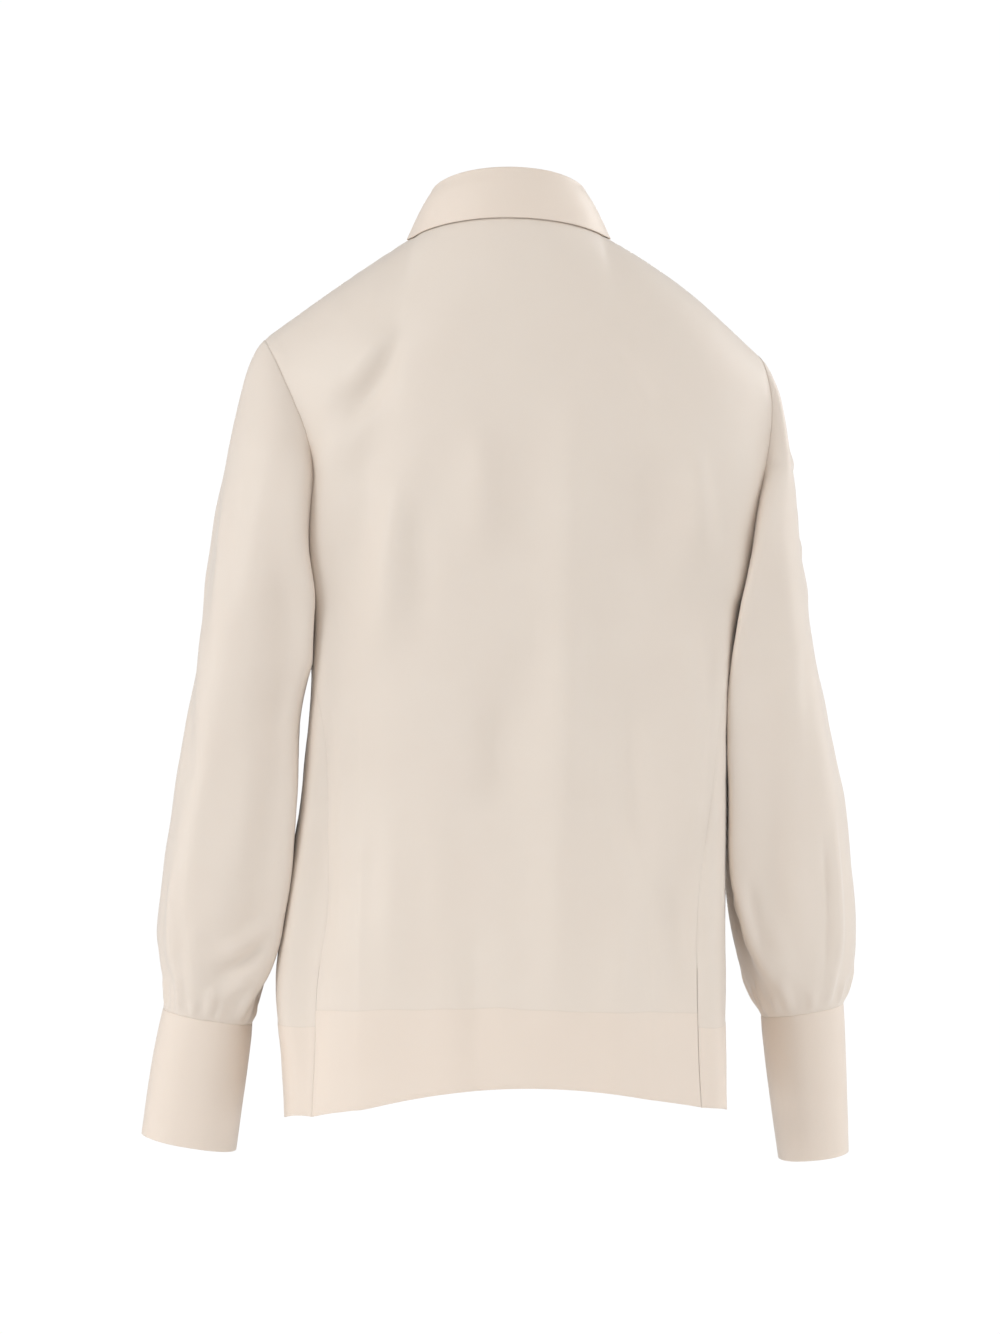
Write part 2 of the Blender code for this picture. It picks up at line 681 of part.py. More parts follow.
def button_down(place, across, drop):
    """Where place(across, down) has this drop."""
    low, high = 0.0, 2.0
    for halving in range(20):
        down = (low + high) / 2
        if -place(across, down).z < drop:
            low = down
        else:
            high = down
    return down


def make_buttons():
    lap = partial(front_point, -1)
    across = FRONT_SHOULDER + (1 - FRONT_SHOULDER) / FRONT_NECK_TURN
    for number, drop in enumerate(BUTTON_DROPS, start=1):
        down = button_down(lap, across, drop)
        out = outward(lap, across, down, (0, 0))
        make_button(f"button_front_{number}", lap(across, down) + out * WALL / 2, out)

    across = 1 - STAND_LAP / (360 + 2 * STAND_LAP)
    out = outward(stand_point, across - 0.01, 0.5, (0, 0))
    make_button("button_collar", stand_point(across, 0.5) + out * BAND_WALL / 2, out)

    along = 1 - CUFF_LAP / 2 / (360 + CUFF_LAP)
    for side, table, word in ((1, CUFF_LEFT, "left"), (-1, CUFF_RIGHT, "right")):
        band = partial(cuff_point, side)
        middle = (sleeve_ring(table, 0, table[0].drop) + sleeve_ring(table, 0.5, table[0].drop)) / 2
        for number, drop in enumerate(CUFF_BUTTON_DROPS, start=1):
            down = (drop - table[0].drop) / (table[-1].drop - table[0].drop)
            out = outward(band, along, down, middle.xy)
            seat = band(along, down) + out * BAND_WALL / 2
            make_button(f"button_cuff_{word}_{number}", seat, out)


# ---------------------------------------------------------------- the blouse

for old in list(bpy.data.objects):
    bpy.data.objects.remove(old)

blouse = bpy.data.collections.new("silk_blouse")
bpy.context.scene.collection.children.link(blouse)

make_panels()
make_sleeve(1, "sleeve_left")
make_sleeve(-1, "sleeve_right")
make_cuff(1, "cuff_left")
make_cuff(-1, "cuff_right")
make_collar()
make_buttons()
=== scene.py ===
from collections import namedtuple
from math import pi, radians, tau

import bmesh
import bpy
import numpy as np
from mathutils import Matrix, Vector, noise
from mathutils.kdtree import KDTree


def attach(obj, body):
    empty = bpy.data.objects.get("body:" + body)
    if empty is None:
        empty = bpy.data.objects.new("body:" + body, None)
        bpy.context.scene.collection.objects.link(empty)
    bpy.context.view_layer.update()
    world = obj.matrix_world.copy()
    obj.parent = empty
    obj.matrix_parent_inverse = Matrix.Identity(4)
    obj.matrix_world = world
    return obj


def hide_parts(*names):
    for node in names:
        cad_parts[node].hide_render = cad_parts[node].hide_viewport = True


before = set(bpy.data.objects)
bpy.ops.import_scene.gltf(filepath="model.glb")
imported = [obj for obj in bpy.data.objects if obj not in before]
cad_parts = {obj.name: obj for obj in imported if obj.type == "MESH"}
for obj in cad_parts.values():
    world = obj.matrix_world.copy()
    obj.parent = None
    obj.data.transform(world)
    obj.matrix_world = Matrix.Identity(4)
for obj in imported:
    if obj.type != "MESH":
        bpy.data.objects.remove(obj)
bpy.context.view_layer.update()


# ---------------------------------------------------------------- The back
# One panel of cream silk crepe, from the neck and the shoulder seams down to a deep turned-up hem.
# It falls from the shoulder blades in soft folds, and its sides are open below the vent tops.

# A cut piece: its solid's node and wall, the steps of cloth between two of the solid's points, down
# and across, and the corners where its top edge starts and ends. A tube has no last corner.
Cut = namedtuple("Cut", "name wall down across first last")
BACK = Cut("back", 0.0012, 8, 8, (0.187, 0.002, -0.080), (-0.193, -0.002, -0.091))
SEWN = 14                           # millimetres from a seam over which the folds die away
BACK_SEWN = {"top": SEWN, "first": SEWN, "last": SEWN}
VENT_TOP = -0.560                   # height where the side seams end, in metres
VENT_EASE = 0.02                    # and how far above it they start to let go
SAME = 1e-5                         # points nearer than this, in metres, count as one

# Drop of the hem's line of stitches, in millimetres, at places across the back.
BACK_HEM = ((-140, 594.5), (-73, 591), (5, 587.5), (80, 589.5), (140, 592))

# A fold's width, its rise and its path, across and down as seen from the side that it faces, are in
# millimetres. Beside it the cloth sinks by its trough, a share of the rise. It dies away over the
# last share of its length, its foot, or runs off the edge where that is 0.
FOLD_TROUGH = 0.35
FOLD_FOOT = 0.35
Fold = namedtuple("Fold", "facing width rise path trough foot", defaults=(FOLD_TROUGH, FOLD_FOOT))
BACK_FOLDS = (
    Fold("back", 11, 2.3, ((70, 48), (91, 88), (108, 112), (128, 138))),
    Fold("back", 10, -1.9, ((80, 72), (96, 118), (134, 160))),
    Fold("back", 13, 1.8, ((80, 180), (88, 250), (96, 335))),
    Fold("back", 12, -1.4, ((60, 190), (66, 260), (64, 330))),
    Fold("back", 12, 1.6, ((18, 140), (15, 200), (19, 262))),
    Fold("back", 16, 1.7, ((-52, 110), (-46, 180), (-50, 290))),
    Fold("back", 18, 2.2, ((-42, 270), (-47, 360), (-40, 470))),
    Fold("back", 15, 1.6, ((-30, 440), (-38, 520), (-34, 610))),
    Fold("back", 22, -2.4, ((-98, 160), (-108, 230), (-100, 330))),
    Fold("back", 10, 1.8, ((-146, 160), (-144, 205), (-150, 262))),
    Fold("back", 18, 5.5, ((-132, 290), (-144, 390), (-136, 510))),
    Fold("back", 13, -3.6, ((-90, 340), (-95, 430), (-104, 515))),
    Fold("back", 20, -3.0, ((-120, 490), (-116, 550), (-110, 625))),
    Fold("back", 15, -1.8, ((8, 350), (2, 400), (4, 450))),
    Fold("back", 16, 1.5, ((60, 400), (50, 500), (46, 660)), foot=0),
    Fold("back", 14, 1.4, ((118, 330), (128, 430), (124, 540))),
    Fold("back", 12, -1.3, ((98, 420), (102, 520), (98, 620))),
    Fold("back", 12, -1.4, ((20, 520), (22, 590), (16, 662)), foot=0),
    Fold("back", 14, 1.6, ((-84, 500), (-86, 570), (-80, 662)), foot=0),
    Fold("back", 12, 1.3, ((-60, 62), (-98, 100), (-130, 150))),
    Fold("back", 10, -1.2, ((-72, 88), (-104, 126), (-128, 172))),
)


def beside(vert, among, border=False):
    """The points in among that share an edge with this one, or only a border edge."""
    links = [edge for edge in vert.link_edges if edge.is_boundary or not border]
    return [edge.other_vert(vert) for edge in links if edge.other_vert(vert) in among]


def follow(path, among, border=False):
    """Goes on from the last point of a path, through the others, while there is a next one."""
    left = set(among) - set(path)
    while True:
        ahead = beside(path[-1], left, border)
        if not ahead:
            return path
        path.append(ahead[0])
        left.discard(ahead[0])


def outer_layer(cut):
    """A solid's outer face alone, as a mesh to walk over."""
    shell = bmesh.new()
    shell.from_mesh(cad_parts[cut.name].data)
    bmesh.ops.remove_doubles(shell, verts=shell.verts, dist=SAME)
    rim = [face for face in shell.faces
           if any(abs(edge.calc_length() - cut.wall) < 2 * SAME for edge in face.edges)]
    bmesh.ops.delete(shell, geom=rim, context="FACES")
    faces = set(shell.faces)
    layers = []
    while faces:
        layer = [faces.pop()]
        for face in layer:
            near = {other for edge in face.edges for other in edge.link_faces} & faces
            faces -= near
            layer.extend(near)
        layers.append(layer)
    layers.sort(key=lambda layer: sum(face.calc_area() for face in layer))
    inner = [face for layer in layers[:-1] for face in layer]
    bmesh.ops.delete(shell, geom=inner, context="FACES")
    return shell


def first_row(shell, cut):
    """The top edge: between two corners, or all round a sleeve."""
    border = {vert for vert in shell.verts if vert.is_boundary}
    start = min(border, key=lambda vert: (vert.co - Vector(cut.first)).length)
    if cut.last is None:
        return follow([start], border, True)
    end = min(border, key=lambda vert: (vert.co - Vector(cut.last)).length)
    paths = []
    for second in beside(start, border, True):
        path = follow([start, second], border, True)
        if end in path:
            paths.append(path[:path.index(end) + 1])
    return min(paths, key=len)


def row_length(row, above):
    return sum((one.co - other.co).length for one, other in zip(row, above))


def read_rows(cut):
    """Rows of points of a solid's outer face, the top one first."""
    shell = outer_layer(cut)
    rows = [first_row(shell, cut)]
    done = set(rows[0])
    while True:
        above = rows[-1]
        below = {edge.other_vert(vert) for vert in above for edge in vert.link_edges} - done
        if not below:
            break
        tries = []
        for start in beside(above[0], below):
            for second in beside(start, below):
                row = follow([start, second], below)
                if len(row) == len(above):
                    tries.append(row)
        rows.append(min(tries, key=lambda row: row_length(row, above)))
        done |= below
    points = np.array([[vert.co[:] for vert in row] for row in rows])
    normal = rows[1][1].normal.copy()
    shell.free()
    down = points[2, 1] - points[0, 1]
    across = points[1, 2] - points[1, 0]
    if np.cross(down, across) @ normal < 0:
        points = points[:, ::-1]
    return points


def curve_weights(count, steps, closed=False):
    """Weights of the smooth curve through count points, with this many steps between two."""
    each = np.eye(count)
    near = np.roll(each, 1, 0) + np.roll(each, -1, 0)
    pull, hold = near - 2 * each, near + 4 * each
    if not closed:
        for end in (0, -1):
            pull[end] = 0
            hold[end] = each[end]
    bend = np.linalg.solve(hold, 6 * pull)
    spans = count if closed else count - 1
    place = np.arange(spans * steps + 1) / steps
    first = np.minimum(place.astype(int), spans - 1)
    second = (first + 1) % count
    t = (place - first)[:, None]
    rest = 1 - t
    return (rest * each[first] + t * each[second]
            + (rest ** 3 - rest) / 6 * bend[first] + (t ** 3 - t) / 6 * bend[second])


def smooth_cloth(cut):
    """Points of a smooth cloth on its solid: rows down the piece, columns round it."""
    rows = read_rows(cut)
    down = curve_weights(rows.shape[0], cut.down)
    across = curve_weights(rows.shape[1], cut.across, cut.last is None)
    return np.einsum("ri,cj,ijk->rck", down, across, rows)


def is_tube(points):
    return np.allclose(points[:, 0], points[:, -1])


def outward(points):
    """Unit normals of a piece, pointing away from the wearer."""
    along = np.gradient(points, axis=1)
    if is_tube(points):
        along[:, 0] = along[:, -1] = (points[:, 1] - points[:, -2]) / 2
    out = np.cross(np.gradient(points, axis=0), along)
    return out / np.linalg.norm(out, axis=2, keepdims=True)


def ease(share):
    share = np.clip(share, 0, 1)
    return share * share * (3 - 2 * share)


def from_edge(points, edge):
    """How far each point lies from the top, hem, first or last edge, in millimetres of cloth."""
    axis = 0 if edge in ("top", "hem") else 1
    steps = np.linalg.norm(np.diff(points, axis=axis), axis=2)
    start = np.zeros_like(steps.take([0], axis=axis))
    far = np.cumsum(np.concatenate([start, steps], axis=axis), axis=axis) * 1000
    if edge in ("hem", "last"):
        far = far.max(axis=axis, keepdims=True) - far
    return far


def near_edge(points, edge, reach):
    """1 at a sewn edge, and 0 past its reach or beside a vent."""
    near = 1 - ease(from_edge(points, edge) / reach)
    if edge in ("first", "last"):
        near = near * ease((points[..., 2] - VENT_TOP) / VENT_EASE)
    return near


# Where the cloth stands out into a soft corner, or falls in, and how far that reaches round it. Its
# places down the cloth are each a drop, where it is across and in depth, and how far the cloth
# stands out there across and to the back, all in millimetres.
Full = namedtuple("Full", "reach places")
BODY_FULL = (
    # left flank
    Full(22, ((190, 146, 60, 0, 0), (240, 145, 56, 2, 8), (290, 141, 48, 2, 14),
              (350, 140, 48, 5, 16), (420, 147, 43, 3, 17), (500, 159, 45, 3, 17),
              (580, 168, 45, 2, 13), (650, 164, 46, 0, 12), (720, 162, 46, 0, 10))),
    # left corner of the back
    Full(16, ((460, 136, 69, 0, 0), (520, 141, 72, -5, 1), (580, 149, 75, -6, 1),
              (640, 150, 74, -5, 1), (700, 150, 73, -4, 1))),
    # left side
    Full(24, ((480, 165, 5, 0, 0), (540, 174, 5, -2, 0), (600, 178, 5, -4, 0),
              (660, 174, 5, -4, 0), (720, 170, 5, -4, 0))),
    # right flank
    Full(22, ((190, -186, 54, 0, 0), (240, -178, 54, 0, 4), (290, -170, 48, -1, 12),
              (350, -162, 44, -3, 18), (420, -156, 48, -4, 18), (500, -155, 50, -3, 16),
              (580, -158, 50, -2, 14), (650, -159, 50, -2, 12), (720, -160, 50, -2, 10))),
    # right side
    Full(26, ((560, -170, 5, 0, 0), (620, -170, 5, 2, 0), (680, -170, 5, 7, 0),
              (740, -170, 5, 8, 0))),
)
CURVE_STEPS = 8                     # steps of a smooth line from one of its places to the next


def fill_out(points, fulls):
    """Moves the cloth out into its soft corners, body and sleeve alike, before it is folded."""
    points = points.copy()
    for reach, places in fulls:
        places = curve_weights(len(places), CURVE_STEPS) @ np.array(places, float)
        down = -points[..., 2] * 1000
        across, deep, side, back = (np.interp(down, places[:, 0], row) for row in places.T[1:])
        far = np.hypot(points[..., 0] * 1000 - across, points[..., 1] * 1000 - deep)
        share = np.exp(-(far / reach) ** 2) / 1000
        points[..., 0] += share * side
        points[..., 1] += share * back
    return points


# The axis and the direction of each side that a fold can face.
FACING = {"back": (1, 1), "front": (1, -1), "left": (0, 1), "right": (0, -1)}
IN_SIGHT = 0.05                     # least turn of the cloth to that side for a path to run on it
OUT_OF_SIGHT = 1000                 # added to the distance of all other cloth, in millimetres
PATH_EVENING = 4                    # times that a path is smoothed


def lay_path(points, out, fold):
    """A fold's path on the cloth that faces this way, from places across and down it."""
    axis, side = FACING[fold.facing]
    hidden = out[..., axis] * side < IN_SIGHT
    seen = np.stack([points[..., 1 - axis], -points[..., 2]], axis=-1) * 1000
    path = []
    for place in curve_weights(len(fold.path), CURVE_STEPS) @ np.array(fold.path, float):
        gap = np.linalg.norm(seen - place, axis=2) + OUT_OF_SIGHT * hidden
        spot = points[np.unravel_index(gap.argmin(), gap.shape)]
        if not path or np.linalg.norm(spot - path[-1]) > SAME:
            path.append(spot)
    path = np.array(path)
    for turn in range(PATH_EVENING):
        path[1:-1] = (path[:-2] + 2 * path[1:-1] + path[2:]) / 4
    return path


FOLD_HEAD = 0.35                    # share of its length over which a fold rises
FOLD_NARROW = 0.8                   # shares of its width at its head, and added down to its foot
FOLD_WIDEN = 0.4
TROUGH_WIDE = 2.2                   # widths over which the cloth beside it sinks


def ridge(points, path, width, trough=FOLD_TROUGH, foot=FOLD_FOOT):
    """A fold's height along this path: one on its top, with a shallow trough on each side."""
    nearest = np.full(points.shape[:2], 1e9)
    along = np.zeros(points.shape[:2])
    for index, (start, end) in enumerate(zip(path, path[1:])):
        step = end - start
        share = np.clip((points - start) @ step / (step @ step), 0, 1)
        gap = np.linalg.norm(points - start - share[..., None] * step, axis=2)
        nearer = gap < nearest
        nearest[nearer] = gap[nearer]
        along[nearer] = (index + share[nearer]) / (len(path) - 1)
    off = nearest * 1000 / (width * (FOLD_NARROW + FOLD_WIDEN * along))
    height = (np.exp(-off ** 2) - trough * np.exp(-(off / TROUGH_WIDE) ** 2)) / (1 - trough)
    if foot:
        height = height * ease((1 - along) / foot)
    return height * ease(along / FOLD_HEAD)


def uneven(points, size):
    """Slow unevenness, between -1 and 1, with this many metres from one bump to the next."""
    places = points.reshape(-1, 3) / size
    return np.array([noise.noise(Vector(place)) for place in places]).reshape(points.shape[:2])


UNEVEN = ((0.9, 0.055), (0.35, 0.022))  # rise in millimetres, and metres from bump to bump


def press(points, folds, sewn, free=1.0, paths=()):
    """Gives a piece its folds and slow unevenness, which die away towards its sewn edges.

    free is the share of them that the piece shows, and paths are folds whose places are known.
    """
    out = outward(points)
    lift = sum(rise * uneven(points, size) for rise, size in UNEVEN)
    for fold in folds:
        path = lay_path(points, out, fold)
        lift += fold.rise * ridge(points, path, fold.width, fold.trough, fold.foot)
    for path, width, rise in paths:
        lift += rise * ridge(points, path, width)
    for edge, reach in sewn.items():
        lift *= 1 - near_edge(points, edge, reach)
    return points + out * (lift * free / 1000)[..., None]


SEAM_DEPTH = 0.25                   # millimetres that a seam lies in, and that it puckers
SEAM_PUCKER = 0.4
SEAM_WIDE = 6                       # and how far each of them goes from the edge
PUCKER_WIDE = 13
PUCKER_SIZE = 0.008                 # metres from one pucker to the next


def draw_in(points, sewn):
    """Draws the sewn edges in a little, unevenly, as their stitches pucker them."""
    lift = np.zeros(points.shape[:2])
    for edge in sewn:
        lift -= SEAM_DEPTH * near_edge(points, edge, SEAM_WIDE)
        lift += SEAM_PUCKER * uneven(points, PUCKER_SIZE) * near_edge(points, edge, PUCKER_WIDE)
    return points + outward(points) * (lift / 1000)[..., None]


HEM_STRAY = 1.2                     # millimetres that the hem's stitches stray from their line
HEM_STRAY_SIZE = 0.03               # and metres from one bend of that line to the next


def turned_hem(points, hem):
    """How far inside the turned-up hem each point lies, in millimetres."""
    across, drops = np.array(hem).T
    line = np.interp(points[..., 0] * 1000, across, drops)
    line = line + HEM_STRAY * uneven(points, HEM_STRAY_SIZE)
    return -points[..., 2] * 1000 - line


class Value:
    """One output of a shader node. Sums and products with it add their Math nodes."""

    def __init__(self, tree, socket=None):
        self.tree = tree
        self.socket = socket

    def node(self, kind, settings=None, inputs=None, output=0):
        made = self.tree.nodes.new("ShaderNode" + kind)
        for name, value in (settings or {}).items():
            setattr(made, name, value)
        for name, value in (inputs or {}).items():
            if isinstance(value, Value):
                self.tree.links.new(value.socket, made.inputs[name])
            else:
                made.inputs[name].default_value = value
        return Value(self.tree, made.outputs[output])

    def feed(self, node, name):
        self.tree.links.new(self.socket, node.inputs[name])

    def maths(self, operation, first, second):
        return self.node("Math", {"operation": operation}, {0: first, 1: second})

    def clamped(self):
        return self.node("Clamp", {}, {0: self})

    def mix(self, first, second):
        return self.node("Mix", {"data_type": "RGBA"}, {0: self, 6: first, 7: second}, 2)

    def __add__(self, other):
        return self.maths("ADD", self, other)

    def __mul__(self, other):
        return self.maths("MULTIPLY", self, other)

    def __sub__(self, other):
        return self.maths("SUBTRACT", self, other)

    def __rsub__(self, other):
        return self.maths("SUBTRACT", other, self)

    def __abs__(self):
        return self.maths("ABSOLUTE", self, 0)

    __radd__ = __add__
    __rmul__ = __mul__


def new_finish(name, tone, settings):
    """A material, its shader and a Value to start expressions from."""
    finish = bpy.data.materials.new(name)
    finish.use_nodes = True
    shader = finish.node_tree.nodes["Principled BSDF"]
    shader.inputs["Base Color"].default_value = tone
    for socket, value in settings.items():
        shader.inputs[socket].default_value = value
    return finish, shader, Value(finish.node_tree)


# Crepe de chine: fine, softly bright cream cloth with a pebbled face. Where it lies double, in the
# hems, collar and cuffs, less light comes through it and it looks warmer.
SILK_TONE = (0.80, 0.715, 0.63, 1)
SILK_DEEP = (0.775, 0.68, 0.595, 1)
SILK_DOUBLE = (0.81, 0.705, 0.61, 1)
SILK_THREAD = (0.66, 0.57, 0.48, 1)


def make_silk():
    silk, shader, start = new_finish("silk_crepe", SILK_TONE, {
        "Roughness": 0.5, "Specular IOR Level": 0.4, "Sheen Weight": 0.25, "Sheen Roughness": 0.35,
        "Subsurface Weight": 0.15, "Subsurface Scale": 0.001, "Subsurface Radius": (1, 0.9, 0.8),
    })
    place = start.node("TexCoord", output=3)
    cloudy = start.node("TexNoise", {}, {"Vector": place, "Scale": 14.0, "Detail": 3.0})
    # The cloth grows warmer across the line of stitches, and dips on it. On the line it is also
    # darkened towards the thread's tone: painted shade of the groove that the stitches sink into.
    turned = start.node("Attribute", {"attribute_name": "turned"}, output=2)
    double = (turned * 1.2 + 0.5).clamped()
    line = (1 - abs(turned) * 1.3).clamped()
    tone = double.mix(cloudy.mix(SILK_TONE, SILK_DEEP), SILK_DOUBLE)
    # painted shade: along the line of stitches the cloth darkens towards the thread's tone, as the
    # shade of their groove
    tone = (line * 0.3).mix(tone, SILK_THREAD)
    pebble = start.node("TexNoise", {}, {"Vector": place, "Scale": 1400.0, "Detail": 2.0})
    slub = start.node("TexNoise", {}, {"Vector": place, "Scale": 260.0, "Detail": 3.0})
    height = pebble * 0.6 + slub * 0.4 - line * 0.9
    bump = start.node("Bump", {}, {"Strength": 0.35, "Distance": 0.0002, "Height": height})
    tone.feed(shader, "Base Color")
    (cloudy * 0.1 + 0.45).feed(shader, "Roughness")
    bump.feed(shader, "Normal")
    return silk


silk = make_silk()
PANEL_CLOTH = 0.0009                # thickness where the cloth lies double, in metres
SINGLE_SHARE = 0.5                  # and its share where it lies single
EDGE_ROUND = 0.35                   # rounding of a band's edges, as a share of its thickness
EVEN_WEIGHT = 80                    # how far the large faces rule the shading of an edge


def add_piece(name, mesh, finish):
    """Puts a finished mesh into the scene as a piece of the blouse."""
    mesh.materials.append(finish)
    piece = bpy.data.objects.new(name, mesh)
    bpy.context.scene.collection.objects.link(piece)
    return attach(piece, "root")


def make_cloth(cut, points, turned, thickness):
    """The cloth of a cut piece. turned says how far inside its double parts each point lies."""
    rows, columns = points.shape[:2]
    turned = np.broadcast_to(turned, (rows, columns))
    sheet = bmesh.new()
    bmesh.ops.create_grid(sheet, x_segments=columns - 1, y_segments=rows - 1, size=1)
    layer = sheet.verts.layers.float.new("turned")
    for vert in sheet.verts:
        row = round((1 - vert.co.y) / 2 * (rows - 1))
        column = round((vert.co.x + 1) / 2 * (columns - 1))
        vert.co = points[row, column]
        vert[layer] = turned[row, column]
    if is_tube(points):
        bmesh.ops.remove_doubles(sheet, verts=sheet.verts, dist=1e-6)
    bmesh.ops.reverse_faces(sheet, faces=sheet.faces)
    doubled = [index for index, vert in enumerate(sheet.verts) if vert[layer] > 0]
    mesh = bpy.data.meshes.new(cut.name + "_silk")
    sheet.to_mesh(mesh)
    sheet.free()
    mesh.shade_smooth()
    piece = add_piece(mesh.name, mesh, silk)
    piece.vertex_groups.new(name="doubled").add(doubled, 1.0, "REPLACE")
    wall = piece.modifiers.new("cloth", "SOLIDIFY")
    wall.thickness = thickness
    wall.offset = -1
    wall.vertex_group = "doubled"
    wall.thickness_vertex_group = SINGLE_SHARE
    if thickness > PANEL_CLOTH:
        turn = piece.modifiers.new("turned edge", "BEVEL")
        turn.limit_method = "ANGLE"
        turn.angle_limit = radians(60)
        turn.width = thickness * EDGE_ROUND
        turn.segments = 3
    piece.modifiers.new("even", "WEIGHTED_NORMAL").weight = EVEN_WEIGHT
    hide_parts(cut.name)


# Machine stitches of silk thread, seen as a fine row along each turning.
STITCH = 0.0031                     # length of a stitch and its thickness, in metres
THREAD = 0.0004
STITCH_FILL = 0.46                  # half the length of its bead, as a share of the stitch
STITCH_FLAT = 2.6                   # its thickness, in units of half its height


def make_thread():
    thread, shader, start = new_finish("silk_thread", SILK_THREAD, {
        "Roughness": 0.42, "Specular IOR Level": 0.5, "Sheen Weight": 0.2})
    place = start.node("TexCoord", output=3)
    strand = start.node("TexNoise", {}, {"Vector": place, "Scale": 900.0, "Detail": 2.0})
    bump = start.node("Bump", {}, {"Strength": 0.4, "Distance": 0.0001, "Height": strand})
    strand.mix(SILK_THREAD, SILK_DEEP).feed(shader, "Base Color")
    bump.feed(shader, "Normal")
    return thread


thread = make_thread()


def add_stitch(row, start, end, up, thick=THREAD):
    """One stitch, a flattened bead from start to end, on cloth whose outward direction is up."""
    along = end - start
    side = up.cross(along).normalized()
    turn = Matrix((along.normalized(), side, along.cross(side).normalized())).transposed()
    size = Matrix.Diagonal((along.length * STITCH_FILL, thick / 2, thick / STITCH_FLAT, 1))
    matrix = Matrix.Translation((start + end) / 2) @ turn.to_4x4() @ size
    bmesh.ops.create_icosphere(row, subdivisions=1, radius=1, matrix=matrix)


def finish_stitches(row, name):
    mesh = bpy.data.meshes.new(name)
    row.to_mesh(mesh)
    row.free()
    mesh.shade_smooth()
    add_piece(name, mesh, thread)


def stitch_line(points, turned, down=True):
    """Where the turning starts, down each column or along each row, with the way out there."""
    cloth = np.concatenate([points, outward(points)], axis=2)
    columns = cloth.transpose(1, 0, 2) if down else cloth
    line = []
    for places, inside in zip(columns, turned.T if down else turned):
        row = int(np.argmax(inside > 0))
        if row:
            share = inside[row] / (inside[row] - inside[row - 1])
            line.append(places[row] * (1 - share) + places[row - 1] * share)
    return np.array(line)


def sew_lines(name, lines):
    row = bmesh.new()
    for line in lines:
        steps = np.linalg.norm(np.diff(line[:, :3], axis=0), axis=1)
        far = np.concatenate([[0], np.cumsum(steps)])
        ends = np.linspace(0, far[-1], round(far[-1] / STITCH) + 1)
        spots = np.stack([np.interp(ends, far, line[:, axis]) for axis in range(6)], axis=1)
        for start, end in zip(spots, spots[1:]):
            add_stitch(row, Vector(start[:3]), Vector(end[:3]), Vector(start[3:]))
    finish_stitches(row, name)


back = press(fill_out(smooth_cloth(BACK), BODY_FULL), BACK_FOLDS, BACK_SEWN)
back = draw_in(back, BACK_SEWN)
back_hem = turned_hem(back, BACK_HEM)
make_cloth(BACK, back, back_hem, PANEL_CLOTH)
sew_lines("back_stitches", (stitch_line(back, back_hem),))


# ---------------------------------------------------------------- The fronts
# Two panels of the same crepe, sewn to the back at the shoulders and down the sides to the vents.
# The right one laps over the left, and both have a facing turned in and stitched down the centre.

FRONT_LEFT = Cut("front_left", 0.0012, 8, 8, (-0.017, -0.061, -0.058), (0.187, 0.002, -0.080))
FRONT_RIGHT = Cut("front_right", 0.0012, 8, 8, (-0.193, -0.002, -0.091), (0.013, -0.062, -0.057))
FRONT_FACING = 30                   # width of the facing, in millimetres
FACING_FLAT = 15                    # width of its edge that stays flat
FACING_EASE = 40                    # and over which the folds beside that grow
FACING_FREE = 0.03                  # share of the folds that the flat edge still shows
CORNER_UP = 80                      # how far up, and how far in, a hem's corner is lifted
CORNER_IN = 50
NOT_TURNED = -50                    # millimetres inside a turning, where there is none
FRONT_HEM = ((-155, 606), (-90, 598), (0, 588), (90, 598), (155, 606))
SEAM_REACH = 0.003                  # edges nearer than this, in metres, are sewn together
SEAM_EASE = 6                       # rows over which a piece gives way to its seam
EDGE_STEPS = 8                      # places tried from one point of an edge to the next

FRONT_LEFT_FOLDS = (
    Fold("front", 12, 2.8, ((122, 92), (98, 140), (84, 225))),
    Fold("front", 10, -2.4, ((140, 122), (122, 170), (110, 235))),
    Fold("front", 16, 4.0, ((98, 230), (88, 370), (96, 540))),
    Fold("front", 13, -3.2, ((66, 280), (60, 420), (68, 575))),
    Fold("front", 11, 2.4, ((136, 200), (126, 300), (134, 400))),
    Fold("front", 11, 2.2, ((40, 370), (46, 520), (40, 640))),
    Fold("front", 13, -2.6, ((118, 400), (112, 520), (122, 640))),
    Fold("front", 13, 2.4, ((90, 550), (84, 620), (90, 670)), foot=0),
    Fold("front", 9, 1.8, ((60, 120), (66, 180), (58, 250))),
)
FRONT_RIGHT_FOLDS = (
    Fold("front", 11, 2.6, ((-108, 84), (-92, 130), (-72, 210))),
    Fold("front", 11, -2.6, ((-142, 130), (-126, 190), (-118, 260))),
    Fold("front", 14, 3.4, ((-74, 240), (-84, 380), (-76, 530))),
    Fold("front", 14, -3.2, ((-110, 290), (-104, 450), (-114, 600))),
    Fold("front", 12, 2.6, ((-144, 220), (-136, 330), (-144, 460))),
    Fold("front", 11, -2.0, ((-50, 340), (-56, 470), (-48, 610))),
    Fold("front", 13, 2.8, ((-128, 470), (-133, 570), (-125, 650))),
    Fold("front", 11, 2.0, ((-66, 540), (-72, 620), (-66, 670)), foot=0),
)

# Each edge of a piece, as its first row.
EDGES = {"top": lambda points: points, "hem": lambda points: points[::-1],
         "first": lambda points: points.transpose(1, 0, 2),
         "last": lambda points: points.transpose(1, 0, 2)[::-1]}


def tree_of(places):
    """Places, kept so that the nearest one is quick to find."""
    tree = KDTree(len(places))
    for index, place in enumerate(places):
        tree.insert(place, index)
    tree.balance()
    return tree


def edge_tree(others):
    """The places along the edges of other pieces, close together."""
    places = []
    for points in others:
        for view in EDGES.values():
            line = view(points)[0]
            for share in np.linspace(0, 1, EDGE_STEPS, endpoint=False):
                places.append(line[:-1] * (1 - share) + line[1:] * share)
    return tree_of(np.concatenate(places))


